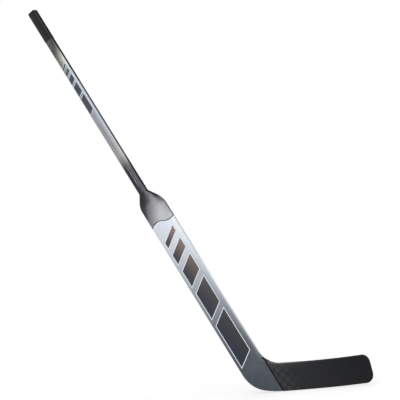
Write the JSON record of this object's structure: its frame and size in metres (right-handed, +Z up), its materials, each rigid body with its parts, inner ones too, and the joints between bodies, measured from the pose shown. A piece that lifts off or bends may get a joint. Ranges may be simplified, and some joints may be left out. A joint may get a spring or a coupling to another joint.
{
  "type": "ice hockey goalie stick",
  "caption": "Composite ice hockey goalie stick: slim hollow shaft with grip and end cap, flared shoulder, wide foam-cored paddle, rounded heel and a curved, rockered blade.",
  "frame": {"origin": "point of the rockered sole that touches the ice, on the paddle's middle plane", "axes": "+Z up from the ice, +X along the sole from the heel to the toe, -Y the way the front (forehand) face looks; the shaft leans back to -X at its lie angle"},
  "size_m": [0.9394, 0.0423, 1.1979],
  "materials": {
    "shaft_finish": "satin lacquer over laminate, faded from pale silver to near black",
    "grip": "matt textured",
    "cap": "moulded, matt",
    "shoulder_finish": "satin lacquer, dark on the outer edge",
    "paddle_finish": "satin lacquer, pale silver faded to slate at the heel",
    "blade_finish": "matt laminate with a faint weave",
    "foam_core": "closed-cell foam",
    "heel_core": "dense foam",
    "laminate": "bare laminate"
  },
  "bodies": {
    "root": {"shaft_tube": "shaft_finish", "butt_grip": "grip", "butt_cap": "cap", "shoulder_front_shell": "shoulder_finish", "shoulder_back_shell": "shoulder_finish", "shoulder_core": "foam_core", "paddle_outer_rail": "paddle_finish", "paddle_inner_rail": "paddle_finish", "paddle_front_skin": "paddle_finish", "paddle_back_skin": "paddle_finish", "paddle_rib": "laminate", "paddle_outer_core": "foam_core", "paddle_inner_core": "foam_core", "heel_block": "heel_core", "blade_tenon": "laminate", "blade_front_skin": "blade_finish", "blade_back_skin": "blade_finish", "blade_edge_wrap": "blade_finish", "blade_lower_core": "foam_core", "blade_upper_core": "foam_core", "blade_stringer": "laminate"}
  },
  "joints": []
}
